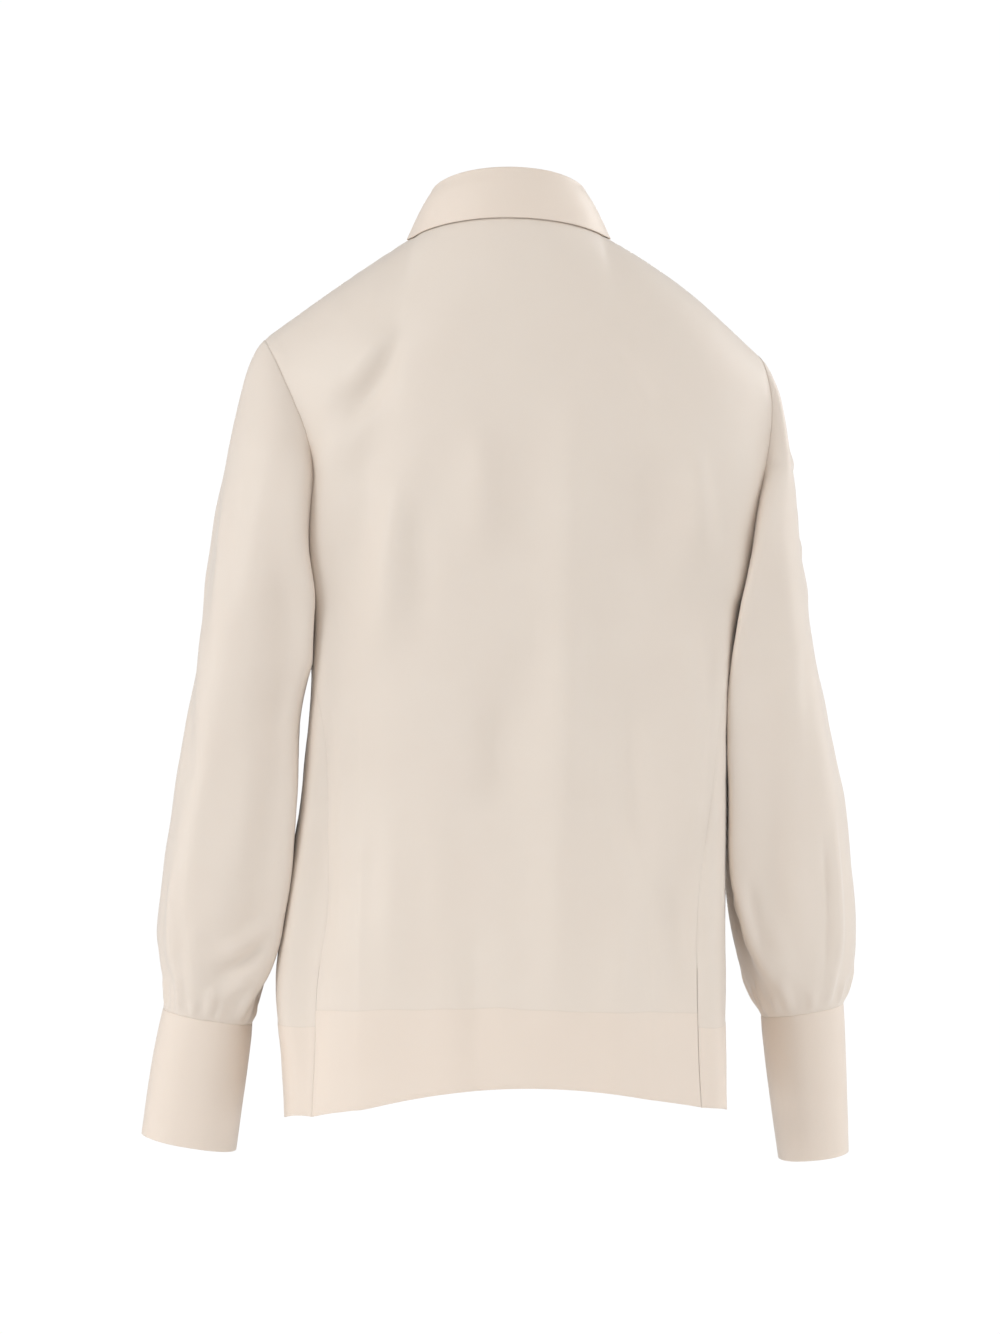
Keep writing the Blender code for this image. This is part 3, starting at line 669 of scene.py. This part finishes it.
def join(points, edge_names, others, vent=0.0):
    """Brings edges onto those of the pieces that they are sewn to, or this near below a vent."""
    tree = edge_tree(others)
    for name in edge_names:
        view = EDGES[name](points)
        shift = np.zeros_like(view[0])
        for index, place in enumerate(view[0]):
            spot, other, gap = tree.find(place)
            if gap < SEAM_REACH:
                shift[index] = np.array(spot) - place
                if name in ("first", "last") and place[2] < VENT_TOP:
                    shift[index] *= 1 - min(vent / gap, 1)
            else:
                shift[index] = shift[index - 1]
        for row in range(SEAM_EASE):
            view[row] += shift * (1 - row / SEAM_EASE) ** 2
    return points


def make_front(cut, folds, side, centre, corner, vent):
    """A front, with its side edge sewn and its centre edge turned in as a facing.

    corner is how far the side end of its hem is lifted, in millimetres, and vent how far from the
    back its side edge hangs below the vent top, in metres.
    """
    sewn = {"top": SEWN, side: SEWN}
    points = fill_out(smooth_cloth(cut), BODY_FULL)
    low = ease(1 - from_edge(points, "hem") / CORNER_UP)
    low = low * ease(1 - from_edge(points, side) / CORNER_IN)
    points[..., 2] += corner * low / 1000
    free = ease((from_edge(points, centre) - FACING_FLAT) / FACING_EASE)
    free = free * (1 - FACING_FREE) + FACING_FREE
    points = draw_in(press(points, folds, sewn, free), sewn)
    points = join(points, ("top", side), (back,), vent)
    facing = FRONT_FACING - from_edge(points, centre)
    hem = turned_hem(points, FRONT_HEM)
    make_cloth(cut, points, np.maximum(facing, hem), PANEL_CLOTH)
    inner, inside = (points, facing) if centre == "last" else (points[:, ::-1], facing[:, ::-1])
    placket = stitch_line(inner, inside, down=False)
    if centre == "first":
        placket[:, 3:] *= -1
    bottom = stitch_line(points, np.where(facing < 0, hem, NOT_TURNED))
    sew_lines(cut.name + "_stitches", (bottom, placket))
    return points


front_left = make_front(FRONT_LEFT, FRONT_LEFT_FOLDS, "last", "first", corner=8, vent=0.0003)
front_right = make_front(FRONT_RIGHT, FRONT_RIGHT_FOLDS, "first", "last", corner=6, vent=0.0006)
body = (back, front_left, front_right)


# ---------------------------------------------------------------- The sleeves
# Full sleeves of the same crepe, each a tube with a seam under the arm, sewn into its armhole.
# They blouse over the cuffs, where their fullness is gathered into the cuff seams.

SLEEVE_LEFT = Cut("sleeve_left", 0.0012, 10, 10, (0.187, 0.002, -0.080), None)
SLEEVE_RIGHT = Cut("sleeve_right", 0.0012, 10, 10, (-0.193, -0.002, -0.091), None)
SLEEVE_SEWN = {"top": SEWN, "hem": 6}

SLEEVE_LEFT_FOLDS = (
    Fold("back", 8, 2.6, ((176, 528), (198, 541), (220, 558))),
    Fold("back", 7, -2.8, ((180, 543), (200, 556), (224, 572))),
    Fold("back", 8, 2.4, ((190, 566), (208, 577), (230, 592))),
    Fold("back", 8, 2.2, ((250, 470), (254, 530), (251, 590))),
    Fold("back", 16, -2.2, ((232, 290), (240, 370), (238, 450))),
    Fold("back", 12, 1.8, ((214, 180), (218, 260), (216, 340))),
    Fold("back", 12, 1.6, ((190, 380), (196, 440), (206, 510))),
    Fold("back", 8, 1.4, ((232, 520), (236, 550), (234, 590))),
    Fold("left", 14, 2.0, ((-12, 150), (2, 260), (-4, 380))),
    Fold("left", 12, -1.8, ((22, 240), (18, 330), (24, 420))),
    Fold("left", 10, 1.8, ((-8, 460), (4, 520), (-2, 580))),
    Fold("front", 9, 2.4, ((182, 322), (208, 338), (240, 334))),
    Fold("front", 8, -2.0, ((184, 342), (210, 356), (238, 354))),
    Fold("front", 9, 1.8, ((190, 372), (214, 374), (240, 366))),
    Fold("front", 9, 2.4, ((190, 540), (214, 552), (240, 560))),
    Fold("front", 8, -2.0, ((196, 556), (218, 566), (244, 574))),
    Fold("front", 14, 1.8, ((226, 170), (232, 240), (226, 310))),
)
SLEEVE_RIGHT_FOLDS = (
    Fold("back", 7, 2.4, ((-174, 478), (-181, 515), (-192, 556))),
    Fold("back", 7, -2.2, ((-184, 490), (-192, 530), (-202, 566))),
    Fold("back", 7, 2.4, ((-252, 430), (-256, 520), (-254, 594))),
    Fold("back", 5, -1.8, ((-243, 450), (-248, 520), (-246, 590))),
    Fold("back", 13, 1.8, ((-204, 200), (-214, 300), (-216, 380))),
    Fold("back", 14, -2.0, ((-226, 300), (-232, 390), (-230, 470))),
    Fold("back", 10, 1.8, ((-206, 520), (-214, 556), (-224, 590))),
    Fold("right", 9, 2.2, ((-30, 142), (-8, 152), (22, 146))),
    Fold("right", 8, 3.0, ((-38, 176), (-8, 180), (28, 168)), trough=0.5),
    Fold("right", 11, 2.8, ((-46, 200), (-14, 210), (18, 206)), trough=0.45),
    Fold("right", 8, 1.8, ((-36, 238), (-16, 240), (6, 234))),
    Fold("right", 13, 1.5, ((-48, 262), (-20, 272), (20, 268))),
    Fold("right", 12, 1.8, ((-30, 300), (-26, 400), (-38, 500))),
    Fold("front", 9, 2.4, ((-186, 318), (-212, 332), (-242, 328))),
    Fold("front", 8, -2.0, ((-190, 338), (-214, 350), (-240, 346))),
    Fold("front", 9, 2.2, ((-196, 546), (-222, 556), (-250, 562))),
    Fold("front", 8, -2.0, ((-200, 562), (-226, 572), (-252, 578))),
    Fold("front", 14, 1.8, ((-222, 180), (-230, 250), (-226, 310))),
)

SLEEVE_LEFT_FULL = (
    # inner corner of the back
    Full(14, ((160, 150, 62, 0, 0), (200, 157, 68, -4, 8), (245, 162, 68, -10, 10),
              (290, 160, 60, -14, 14), (350, 160, 58, -4, 11), (420, 167, 56, -5.5, 10),
              (500, 178, 54, -12, 10), (560, 190, 50, -9, 8), (610, 205, 44, 0, 0))),
    # inner edge
    Full(24, ((230, 150, 0, 0, 0), (285, 152, 4, 1.5, 0), (355, 151, 17, 8, 0),
              (400, 154, 17, 8, 0), (440, 160, 17, 5, 0), (480, 168, 18, 0, 0))),
    # inner edge over the cuff
    Full(20, ((540, 181, 10, 0, 0), (560, 184, 10, 2, 0), (580, 189, 10, 4, 0),
              (600, 195, 8, 0, 0))),
)
SLEEVE_RIGHT_FULL = (
    # inner corner of the back
    Full(14, ((180, -200, 54, 0, 0), (215, -202, 54, 7, 12), (250, -200, 52, 12, 17),
              (290, -195, 46, 17, 21), (350, -190, 36, 20, 23), (420, -188, 26, 20, 26),
              (500, -190, 14, 17, 22), (560, -204, 6, 8, 12), (610, -216, 0, 0, 0))),
    # inner edge
    Full(24, ((230, -185, 0, 0, 0), (285, -184, -4, -3.4, 0), (340, -178, -6, 0, 0))),
    # inner edge over the cuff
    Full(20, ((440, -172, -8, 0, 0), (480, -172, -8, -3, 0), (520, -175, -8, -5, 0),
              (560, -184, -8, -3, 0), (600, -196, -8, 0, 0))),
)

# Gathers: where round the sleeve, as a share, and how long, wide and high, in millimetres.
Gather = namedtuple("Gather", "round length width rise")
GATHERS_LEFT = (
    Gather(0.02, 34, 4.2, 1.6), Gather(0.07, 26, 3.6, 1.2), Gather(0.11, 44, 4.6, 1.8),
    Gather(0.17, 24, 3.4, 1.1), Gather(0.22, 38, 4.4, 1.5), Gather(0.26, 22, 3.2, 1.0),
    Gather(0.33, 46, 4.8, 1.8), Gather(0.38, 28, 3.8, 1.3), Gather(0.44, 36, 4.2, 1.6),
    Gather(0.52, 52, 5.0, 1.9), Gather(0.57, 30, 3.8, 1.3), Gather(0.63, 40, 4.4, 1.6),
    Gather(0.70, 24, 3.4, 1.1), Gather(0.75, 48, 4.8, 1.8), Gather(0.81, 30, 3.8, 1.3),
    Gather(0.88, 42, 4.4, 1.7), Gather(0.94, 26, 3.6, 1.2),
)
GATHERS_RIGHT = (
    Gather(0.03, 40, 4.4, 1.6), Gather(0.09, 24, 3.4, 1.1), Gather(0.14, 36, 4.2, 1.5),
    Gather(0.19, 50, 4.8, 1.9), Gather(0.25, 26, 3.6, 1.2), Gather(0.31, 34, 4.0, 1.5),
    Gather(0.36, 22, 3.2, 1.0), Gather(0.42, 46, 4.8, 1.8), Gather(0.49, 30, 3.8, 1.3),
    Gather(0.54, 38, 4.4, 1.6), Gather(0.61, 26, 3.4, 1.2), Gather(0.66, 44, 4.6, 1.8),
    Gather(0.73, 30, 3.8, 1.3), Gather(0.79, 50, 4.8, 1.8), Gather(0.86, 28, 3.6, 1.2),
    Gather(0.92, 38, 4.2, 1.5), Gather(0.97, 24, 3.4, 1.1),
)


def make_sleeve(cut, full, folds, gathers):
    """A sleeve, with its folds, its gathers over the cuff and its top sewn into the armhole."""
    points = fill_out(smooth_cloth(cut), full)
    far = from_edge(points, "hem")
    paths = []
    for gather in gathers:
        column = round(gather.round * (points.shape[1] - 1))
        rows = far[:, column] < gather.length
        paths.append((points[rows, column][::-1], gather.width, gather.rise))
    points = draw_in(press(points, folds, SLEEVE_SEWN, paths=paths), SLEEVE_SEWN)
    points = join(points, ("top",), body)
    points[:, -1] = points[:, 0]
    make_cloth(cut, points, NOT_TURNED, PANEL_CLOTH)
    return points


sleeve_left = make_sleeve(SLEEVE_LEFT, SLEEVE_LEFT_FULL, SLEEVE_LEFT_FOLDS, GATHERS_LEFT)
sleeve_right = make_sleeve(SLEEVE_RIGHT, SLEEVE_RIGHT_FULL, SLEEVE_RIGHT_FOLDS, GATHERS_RIGHT)


# ---------------------------------------------------------------- The cuffs
# Deep cuffs of silk folded double over a light interlining, each sewn to its sleeve along the top.
# Their ends lap on the inner side of the wrist, where two buttons hold them.

CUFF_LEFT = Cut("cuff_left", 0.0016, 16, 8, (0.215, -0.027, -0.606), (0.234, -0.034, -0.603))
CUFF_RIGHT = Cut("cuff_right", 0.0016, 16, 8, (-0.236, -0.091, -0.603), (-0.219, -0.084, -0.606))
BAND_CLOTH = 0.0013                 # thickness, in metres
BAND_SEWN = 6                       # millimetres from its seam over which a band is even
ALL_DOUBLE = 50                     # millimetres inside a turning, where all lies double


def make_band(cut, edge, others, free=0.25):
    """An interlined band, sewn along one edge to other pieces, that shows little unevenness."""
    points = press(smooth_cloth(cut), (), {edge: BAND_SEWN}, free)
    points = join(points, (edge,), others)
    make_cloth(cut, points, ALL_DOUBLE, BAND_CLOTH)
    return points


cuff_left = make_band(CUFF_LEFT, "top", (sleeve_left,))
cuff_right = make_band(CUFF_RIGHT, "top", (sleeve_right,))


# ---------------------------------------------------------------- The collar
# A stand, sewn round the neck and buttoned at the throat, and a fall that turns over it to its two
# points. Both are silk folded double over interlining, with rounded outer edges.

STAND = Cut("collar_stand", 0.0016, 8, 8, (-0.013, -0.053, -0.036), (0.010, -0.055, -0.036))
FALL = Cut("collar_fall", 0.0016, 6, 8, (0.002, -0.055, -0.036), (-0.006, -0.055, -0.036))
FALL_CLOTH = 0.0009                 # thickness, in metres
FALL_CLEAR = 0.3                    # how near its lower edge comes to the body, in millimetres
FALL_BEND = 34                      # and over how much of the fall it bends towards it
FALL_REACH = 0.006                  # and how far at most, in metres
FALL_EVENING = 24                   # times that the bend is smoothed along the edge


def lay_down(points, others):
    """Bends the fall in until its lower edge lies close over the body."""
    places = np.concatenate([other.reshape(-1, 3) for other in others])
    ways = np.concatenate([outward(other).reshape(-1, 3) for other in others])
    tree = tree_of(places)
    shift = np.zeros_like(points[-1])
    for column, place in enumerate(points[-1]):
        spot, index, gap = tree.find(place)
        over = (place - places[index]) @ ways[index] - (FALL_CLEAR / 1000 + FALL_CLOTH)
        shift[column] = ways[index] * np.clip(over, 0, FALL_REACH)
    for turn in range(FALL_EVENING):
        shift[1:-1] = (shift[:-2] + 2 * shift[1:-1] + shift[2:]) / 4
    bend = ease(1 - from_edge(points, "hem") / FALL_BEND)
    return points - bend[..., None] * shift


collar_stand = make_band(STAND, "hem", body, free=0.1)
collar_fall = press(smooth_cloth(FALL), (), {"top": BAND_SEWN}, free=0.3)
collar_fall = lay_down(join(collar_fall, ("top",), (collar_stand,)), body)
make_cloth(FALL, collar_fall, ALL_DOUBLE, FALL_CLOTH)


# ---------------------------------------------------------------- The buttons
# Cream pearl buttons with a sunk middle and four holes: six down the front, one on the stand and
# two on each cuff. Each is sewn on with silk thread over the buttonhole of the lap that it closes.

# The cloth that carries each row of buttons, their nodes, and whether the buttonhole is upright.
BUTTONS = (
    (front_right, ["button_front_%d" % number for number in range(1, 7)], True),
    (collar_stand, ["button_collar"], False),
    (cuff_left, ["button_cuff_left_1", "button_cuff_left_2"], False),
    (cuff_right, ["button_cuff_right_1", "button_cuff_right_2"], False),
)
BUTTON_TURNS = (                    # radius and height of its outline, in millimetres
    (0, 0), (4.4, 0), (4.9, 0.35), (5.35, 1.0), (5.5, 1.5), (5.35, 1.95), (5.0, 2.28), (4.6, 2.4),
    (4.2, 2.3), (3.8, 2.0), (3.4, 1.72), (2.9, 1.6), (0, 1.6),
)
BUTTON_HOLE = 0.75                  # radius of a hole, and how far off the middle it is
BUTTON_HOLE_OFF = 1.35
DRILL_HEIGHT = 0.001                # middle and length of the drill that makes it, in metres
DRILL_LENGTH = 0.006
HOLE_SIDES = 14
BUTTON_SIDES = 40
BUTTONHOLE_LENGTH = 0.014           # in metres, and its stitches down each side
BUTTONHOLE_STITCHES = 24
PEARL_TONE = (0.80, 0.73, 0.64, 1)
PEARL_LIGHT = (0.88, 0.82, 0.76, 1)


def make_pearl():
    pearl, shader, start = new_finish("pearl", PEARL_TONE, {
        "Roughness": 0.2, "Specular IOR Level": 0.6, "Coat Weight": 0.5, "Coat Roughness": 0.08})
    place = start.node("TexCoord", output=3)
    layers = start.node("TexWave", {}, {
        "Vector": place, "Scale": 260.0, "Distortion": 9.0, "Detail": 3.0, "Detail Scale": 1.6})
    bump = start.node("Bump", {}, {"Strength": 0.08, "Distance": 0.0001, "Height": layers})
    layers.mix(PEARL_TONE, PEARL_LIGHT).feed(shader, "Base Color")
    (layers * 0.15 + 0.14).feed(shader, "Roughness")
    bump.feed(shader, "Normal")
    return pearl


def turn_button():
    """The button's mesh, lying on the floor of its own space with its face up."""
    disc = bmesh.new()
    line = [disc.verts.new((radius / 1000, 0, height / 1000)) for radius, height in BUTTON_TURNS]
    around = [disc.edges.new(pair) for pair in zip(line, line[1:])]
    bmesh.ops.spin(disc, geom=line + around, axis=(0, 0, 1), cent=(0, 0, 0),
                   steps=BUTTON_SIDES, angle=tau, use_merge=True)
    bmesh.ops.remove_doubles(disc, verts=disc.verts, dist=1e-6)
    bmesh.ops.recalc_face_normals(disc, faces=disc.faces)
    drills = bmesh.new()
    hole, off = BUTTON_HOLE / 1000, BUTTON_HOLE_OFF / 1000
    for x in (-1, 1):
        for y in (-1, 1):
            place = Matrix.Translation((x * off, y * off, DRILL_HEIGHT))
            bmesh.ops.create_cone(drills, cap_ends=True, segments=HOLE_SIDES, radius1=hole,
                                  radius2=hole, depth=DRILL_LENGTH, matrix=place)
    made = []
    for name, mesh in (("blank", disc), ("drills", drills)):
        data = bpy.data.meshes.new(name)
        mesh.to_mesh(data)
        mesh.free()
        made.append(bpy.data.objects.new(name, data))
        bpy.context.scene.collection.objects.link(made[-1])
    blank, cutter = made
    drill = blank.modifiers.new("holes", "BOOLEAN")
    drill.operation = "DIFFERENCE"
    drill.object = cutter
    graph = bpy.context.evaluated_depsgraph_get()
    button = bpy.data.meshes.new_from_object(blank.evaluated_get(graph))
    for done in made:
        bpy.data.objects.remove(done)
    return button


def button_place(node, points):
    """Where a button of the solid model lies: the middle of its underside, and its turn."""
    verts = np.array([vert.co[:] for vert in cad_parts[node].data.vertices])
    corners = np.unique(verts.round(6), axis=0)
    middle = (corners.min(0) + corners.max(0)) / 2
    out = np.linalg.svd(corners - corners.mean(0))[2][2]
    gap = np.linalg.norm(points - middle, axis=2)
    if out @ outward(points)[np.unravel_index(gap.argmin(), gap.shape)] < 0:
        out = -out
    reach = (corners - middle) @ out
    up = Vector(out)
    side = Vector((0, 0, 1)).cross(up).normalized()
    turn = Matrix((side, up.cross(side), up)).transposed().to_4x4()
    return Matrix.Translation(Vector(middle) + up * reach.min()) @ turn


# Two strands of thread lie in each pair of holes, and stitches lie across the buttonhole's sides.
STRAND_OFF = 0.00022                # metres from the middle of the pair, and thickness
STRAND = 0.0005
STRAND_HEIGHT = 0.0017              # height over the button's underside
STRAND_REACH = 1.25                 # its ends, in steps from the button's middle to a hole's
EYE_NEAR = 0.0002                   # a buttonhole stitch's ends, from the slit, and thickness
EYE_FAR = 0.0013
EYE_THREAD = 0.0006
EYE_HEIGHT = -0.0002


def sew_on(threads, place):
    """The strands that hold a button."""
    up = place.to_3x3() @ Vector((0, 0, 1))
    off = BUTTON_HOLE_OFF / 1000
    for x in (-off, off):
        for strand in (-STRAND_OFF, STRAND_OFF):
            start = place @ Vector((x + strand, -off * STRAND_REACH, STRAND_HEIGHT))
            end = place @ Vector((x + strand, off * STRAND_REACH, STRAND_HEIGHT))
            add_stitch(threads, start, end, up, STRAND)


def work_buttonhole(threads, place, upright):
    """The stitches along both sides of a buttonhole, which lies under its button."""
    up = place.to_3x3() @ Vector((0, 0, 1))
    for index in range(BUTTONHOLE_STITCHES):
        far = (index / (BUTTONHOLE_STITCHES - 1) - 0.5) * BUTTONHOLE_LENGTH
        for side in (-1, 1):
            ends = [(side * EYE_NEAR, far), (side * EYE_FAR, far)]
            if not upright:
                ends = [end[::-1] for end in ends]
            start, end = (place @ Vector((*spot, EYE_HEIGHT)) for spot in ends)
            add_stitch(threads, start, end, up, EYE_THREAD)


pearl = make_pearl()
blank_button = turn_button()
threads = bmesh.new()
for cloth, names, upright in BUTTONS:
    for name in names:
        place = button_place(name, cloth)
        mesh = blank_button.copy()
        mesh.name = name + "_pearl"
        mesh.transform(place)
        mesh.shade_smooth()
        button = add_piece(mesh.name, mesh, pearl)
        button.modifiers.new("even", "WEIGHTED_NORMAL").weight = EVEN_WEIGHT
        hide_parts(name)
        sew_on(threads, place)
        work_buttonhole(threads, place, upright)
finish_stitches(threads, "button_threads")


# ---------------------------------------------------------------- The studio
# A plain pale room with soft lamps: the main one above and to one side of the camera, and weaker
# ones at the sides and on the far side of the blouse.

ROOM_BASE = 0.29                    # brightness all round, and more of it to the sides
ROOM_SIDES = 0.36
ROOM_SEEN = 1.02                    # brightness as the camera sees it
FLOOR_HEIGHT = -1.35                # in metres, as are its radius and the camera's place
FLOOR_RADIUS = 2.6
CAMERA_PLACE = (0, 3.0, -0.333)
CAMERA_LENS = 104.46                # in millimetres
CAMERA_SHIFT = -6 / 1334            # 6 pixels sideways, in a frame of 1000 by 1334

# A lamp's strength, how wide it looks, in degrees, and where it stands as seen from the blouse.
Lamp = namedtuple("Lamp", "name strength angle toward")
LAMPS = (
    Lamp("key", 0.8, 22, (1.0, 0.8, 0.5)),
    Lamp("front", 0.44, 12, (0.05, 1.0, 0.05)),
    Lamp("top", 0.25, 40, (0.1, 0.4, 1.0)),
    Lamp("fill", 0.2, 40, (-1.0, 0.8, 0.2)),
    Lamp("side_left", 0.7, 60, (1.0, 0.1, 0.15)),
    Lamp("side_right", 0.8, 60, (-1.0, 0.25, 0.3)),
    Lamp("far_key", 0.85, 25, (-1.0, -0.8, 0.5)),
    Lamp("far_front", 0.42, 20, (0.0, -1.0, 0.1)),
)

studio = bpy.context.scene
studio.view_settings.view_transform = "Standard"
world = bpy.data.worlds.new("studio")
world.use_nodes = True
background = world.node_tree.nodes["Background"]
background.inputs["Color"].default_value = (1, 1, 1, 1)
room = Value(world.node_tree)
toward = room.node("TexCoord")
side = room.node("SeparateXYZ", {}, {0: toward})
glow = ROOM_BASE + side * side * ROOM_SIDES
seen = room.node("LightPath")
(glow + seen * (ROOM_SEEN - glow)).feed(background, "Strength")
studio.world = world
for lamp in LAMPS:
    light = bpy.data.lights.new(lamp.name, "SUN")
    light.energy = lamp.strength
    light.angle = radians(lamp.angle)
    sun = bpy.data.objects.new(lamp.name, light)
    sun.rotation_euler = Vector(lamp.toward).to_track_quat("Z", "Y").to_euler()
    studio.collection.objects.link(sun)

floor_mesh = bpy.data.meshes.new("floor")
disc = bmesh.new()
bmesh.ops.create_circle(disc, cap_ends=True, segments=96, radius=FLOOR_RADIUS,
                        matrix=Matrix.Translation((0, 0, FLOOR_HEIGHT)))
disc.to_mesh(floor_mesh)
disc.free()
floor = bpy.data.objects.new("floor", floor_mesh)
studio.collection.objects.link(floor)
paint = new_finish("pale_floor", (0.9, 0.9, 0.9, 1), {
    "Roughness": 0.9, "Emission Color": (1, 1, 1, 1), "Emission Strength": 0.08})[0]
floor_mesh.materials.append(paint)

camera_data = bpy.data.cameras.new("camera")
camera_data.sensor_width = 36
camera_data.lens = CAMERA_LENS
camera_data.shift_x = CAMERA_SHIFT
camera = bpy.data.objects.new("camera", camera_data)
camera.location = CAMERA_PLACE
camera.rotation_euler = (pi / 2, 0, pi)
studio.collection.objects.link(camera)
studio.camera = camera
